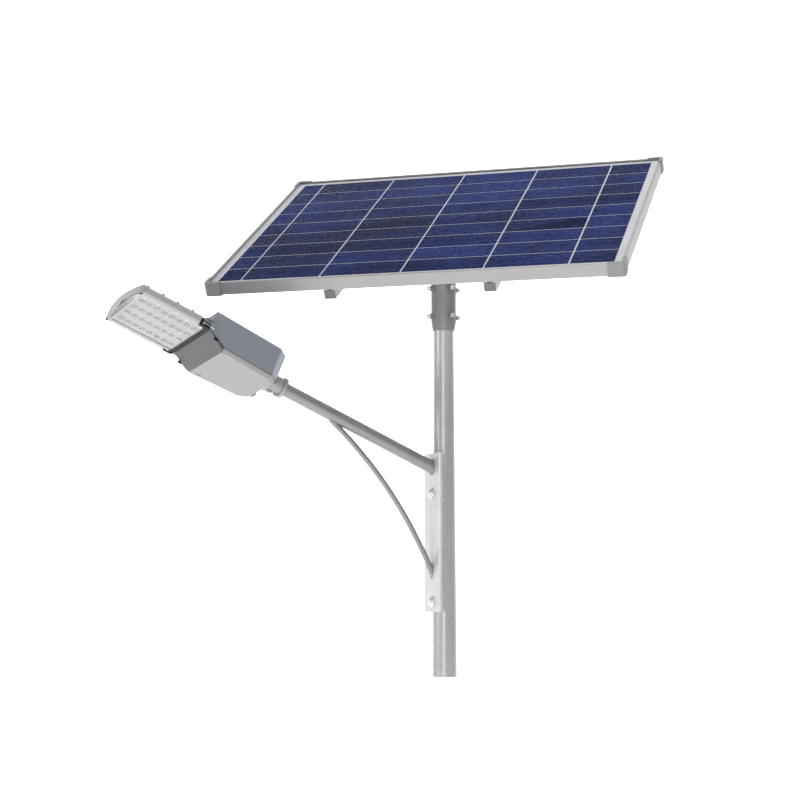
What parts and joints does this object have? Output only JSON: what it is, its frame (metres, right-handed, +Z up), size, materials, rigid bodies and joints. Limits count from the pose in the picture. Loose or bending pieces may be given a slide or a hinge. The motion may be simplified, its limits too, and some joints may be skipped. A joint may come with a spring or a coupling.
{
  "type": "solar street lamp",
  "caption": "Pole head with a tilting solar panel on a turning post and a side arm carrying a flat lamp head with a hinged battery cover.",
  "frame": {"origin": "centre of the pole's open lower end, where it slides over the lower pole", "axes": "+Z up the pole, the lamp arm reaches towards -X, +Y is across the arm"},
  "size_m": [1.6899, 1.3748, 1.5647],
  "materials": {
    "galvanised_steel": "galvanised, satin",
    "zinc_bolts": "zinc plated",
    "frame_aluminium": "anodised, satin",
    "grey_plastic": "moulded",
    "black_plastic": "moulded",
    "black_rubber": "matt",
    "clear_glass": "clear, polished",
    "silicon": "polycrystalline",
    "white_sheet": "smooth",
    "cast_grey": "powder coated",
    "cover_grey": "powder coated",
    "white_board": "white solder mask",
    "led_chip": "phosphor",
    "clear_lens": "clear moulded",
    "battery_wrap": "shrink wrap",
    "bright_steel": "bright"
  },
  "bodies": {
    "pole": {"pole": "galvanised_steel", "arm_plate": "galvanised_steel", "saddles": "galvanised_steel", "plate_bolts": "zinc_bolts", "bolt_washers": "zinc_bolts", "bolt_nuts": "zinc_bolts", "arm": "galvanised_steel", "brace": "galvanised_steel"},
    "post": {"sleeve": "galvanised_steel", "screw_bosses": "zinc_bolts", "set_screws": "zinc_bolts", "post_cap": "galvanised_steel", "post_ears": "galvanised_steel", "tilt_pin": "zinc_bolts", "lock_bolts": "zinc_bolts"},
    "panel": {"beam_lugs": "galvanised_steel", "cross_beam": "galvanised_steel", "beam_plugs": "black_plastic", "rail_left": "galvanised_steel", "rail_right": "galvanised_steel", "rail_plugs": "grey_plastic", "rail_bolts": "zinc_bolts", "frame_bolts": "zinc_bolts", "frame_front": "frame_aluminium", "frame_rear": "frame_aluminium", "frame_left": "frame_aluminium", "frame_right": "frame_aluminium", "corner_guards": "grey_plastic", "glass": "clear_glass", "solar_cells": "silicon", "backsheet": "white_sheet", "junction_box": "black_plastic", "junction_lid": "black_plastic", "junction_glands": "black_plastic"},
    "head": {"fitter": "cast_grey", "fitter_bolts": "zinc_bolts", "housing": "cast_grey", "hinge_pins": "zinc_bolts", "seam_gasket": "black_rubber", "heat_sink": "cast_grey", "side_rail_near": "cast_grey", "side_rail_far": "cast_grey", "module_end": "cast_grey", "led_board": "white_board", "led_chips": "led_chip", "lens_plate": "clear_lens", "lens_frame": "cast_grey", "lens_screws": "zinc_bolts", "clip_blocks": "black_plastic", "clip_pins": "zinc_bolts", "gear_plate": "zinc_bolts", "battery": "battery_wrap", "battery_straps": "black_rubber", "controller": "black_plastic", "terminal_block": "grey_plastic"},
    "cover": {"tray": "cover_grey", "clip_pads": "black_plastic"},
    "clip_near": {"clip_lever_near": "bright_steel"},
    "clip_far": {"clip_lever_far": "bright_steel"}
  },
  "joints": [
    {"name": "panel_turn", "type": "hinge", "parent": "pole", "child": "post", "pos_m": [0, 0, 1.1], "axis": [0, 0, 1], "range_deg": [-180, 180]},
    {"name": "panel_tilt", "type": "hinge", "parent": "post", "child": "panel", "pos_m": [0, 0, 1.186], "axis": [0.7524, -0.6587, 0], "range_deg": [-20, 25]},
    {"name": "head_roll", "type": "hinge", "parent": "pole", "child": "head", "pos_m": [-0.52736, 0, 0.82244], "axis": [-0.9092, 0, 0.4163], "range_deg": [-30, 30]},
    {"name": "cover_hinge", "type": "hinge", "parent": "head", "child": "cover", "pos_m": [-0.55851, -0.00415, 0.80292], "axis": [0.0558, -0.991, 0.1218], "range_deg": [0, 65]},
    {"name": "clip_near_swing", "type": "hinge", "parent": "head", "child": "clip_near", "pos_m": [-0.77929, -0.15399, 0.96401], "axis": [0.4125, 0.134, 0.901], "range_deg": [-100, 0]},
    {"name": "clip_far_swing", "type": "hinge", "parent": "head", "child": "clip_far", "pos_m": [-0.79667, 0.1548, 0.92605], "axis": [0.4125, 0.134, 0.901], "range_deg": [0, 100]}
  ]
}
